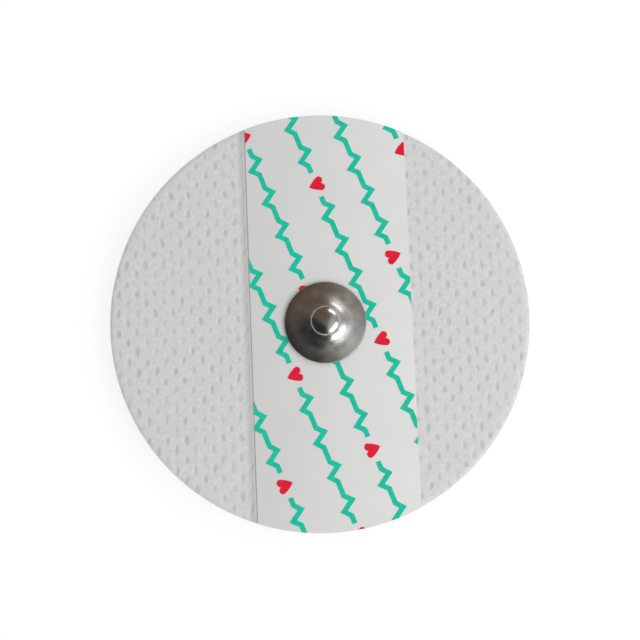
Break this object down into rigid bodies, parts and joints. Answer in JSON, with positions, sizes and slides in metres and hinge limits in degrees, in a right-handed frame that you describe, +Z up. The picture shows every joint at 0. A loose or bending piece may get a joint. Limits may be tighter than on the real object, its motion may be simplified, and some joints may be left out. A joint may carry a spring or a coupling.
{
  "type": "ecg electrode",
  "caption": "Round adhesive ecg electrode with an embossed nonwoven backing, a printed label strip, a snap stud for the lead, a sensor eyelet with its gel pad, and a moulded release liner.",
  "frame": {"origin": "centre of the disc, on the plane that the liner's cup rests on", "axes": "+Z up, towards the head of the stud; +Y along the label strip; +X across it"},
  "size_m": [0.055, 0.055, 0.0061],
  "materials": {
    "stud_metal": "satin nickel plate on stamped sheet",
    "sensor_coating": "matt silver chloride coating on a moulded eyelet",
    "nonwoven": "matt white nonwoven with embossed pits",
    "label_film": "smooth coated white film",
    "green_ink": "flat green print under the film's gloss",
    "red_ink": "flat red print under the film's gloss",
    "gel": "wet translucent hydrogel",
    "liner_film": "clear glossy moulded film"
  },
  "bodies": {
    "root": {"snap_stud": "stud_metal", "sensor_eyelet": "sensor_coating", "backing_disc": "nonwoven", "label_strip": "label_film", "pulse_print": "green_ink", "heart_print": "red_ink", "gel_pad": "gel", "release_liner": "liner_film"}
  },
  "joints": []
}
